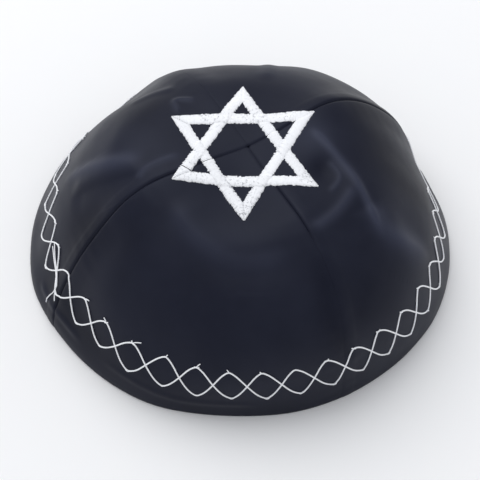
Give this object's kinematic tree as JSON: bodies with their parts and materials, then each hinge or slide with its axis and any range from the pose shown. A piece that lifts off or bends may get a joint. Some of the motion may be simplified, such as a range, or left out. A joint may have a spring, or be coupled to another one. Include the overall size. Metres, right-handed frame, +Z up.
{
  "type": "kippah skullcap",
  "caption": "Soft domed skullcap (kippah) of dark satin gores sewn together, with a raised embroidered star on the crown and an open hollow for the head.",
  "frame": {"origin": "centre of the cap's bounding box on the plane that its hem rests on", "axes": "+Z up through the crown, -Y towards the front of the cap as the picture shows it, +X to the viewer's right"},
  "size_m": [0.1729, 0.1651, 0.0714],
  "materials": {
    "navy_satin": "satin weave, soft sheen",
    "silver_white_thread": "machine satin stitch, slight lustre"
  },
  "bodies": {
    "root": {"gore_back": "navy_satin", "gore_left": "navy_satin", "gore_front": "navy_satin", "gore_right": "navy_satin", "star_embroidery": "silver_white_thread"}
  },
  "joints": []
}
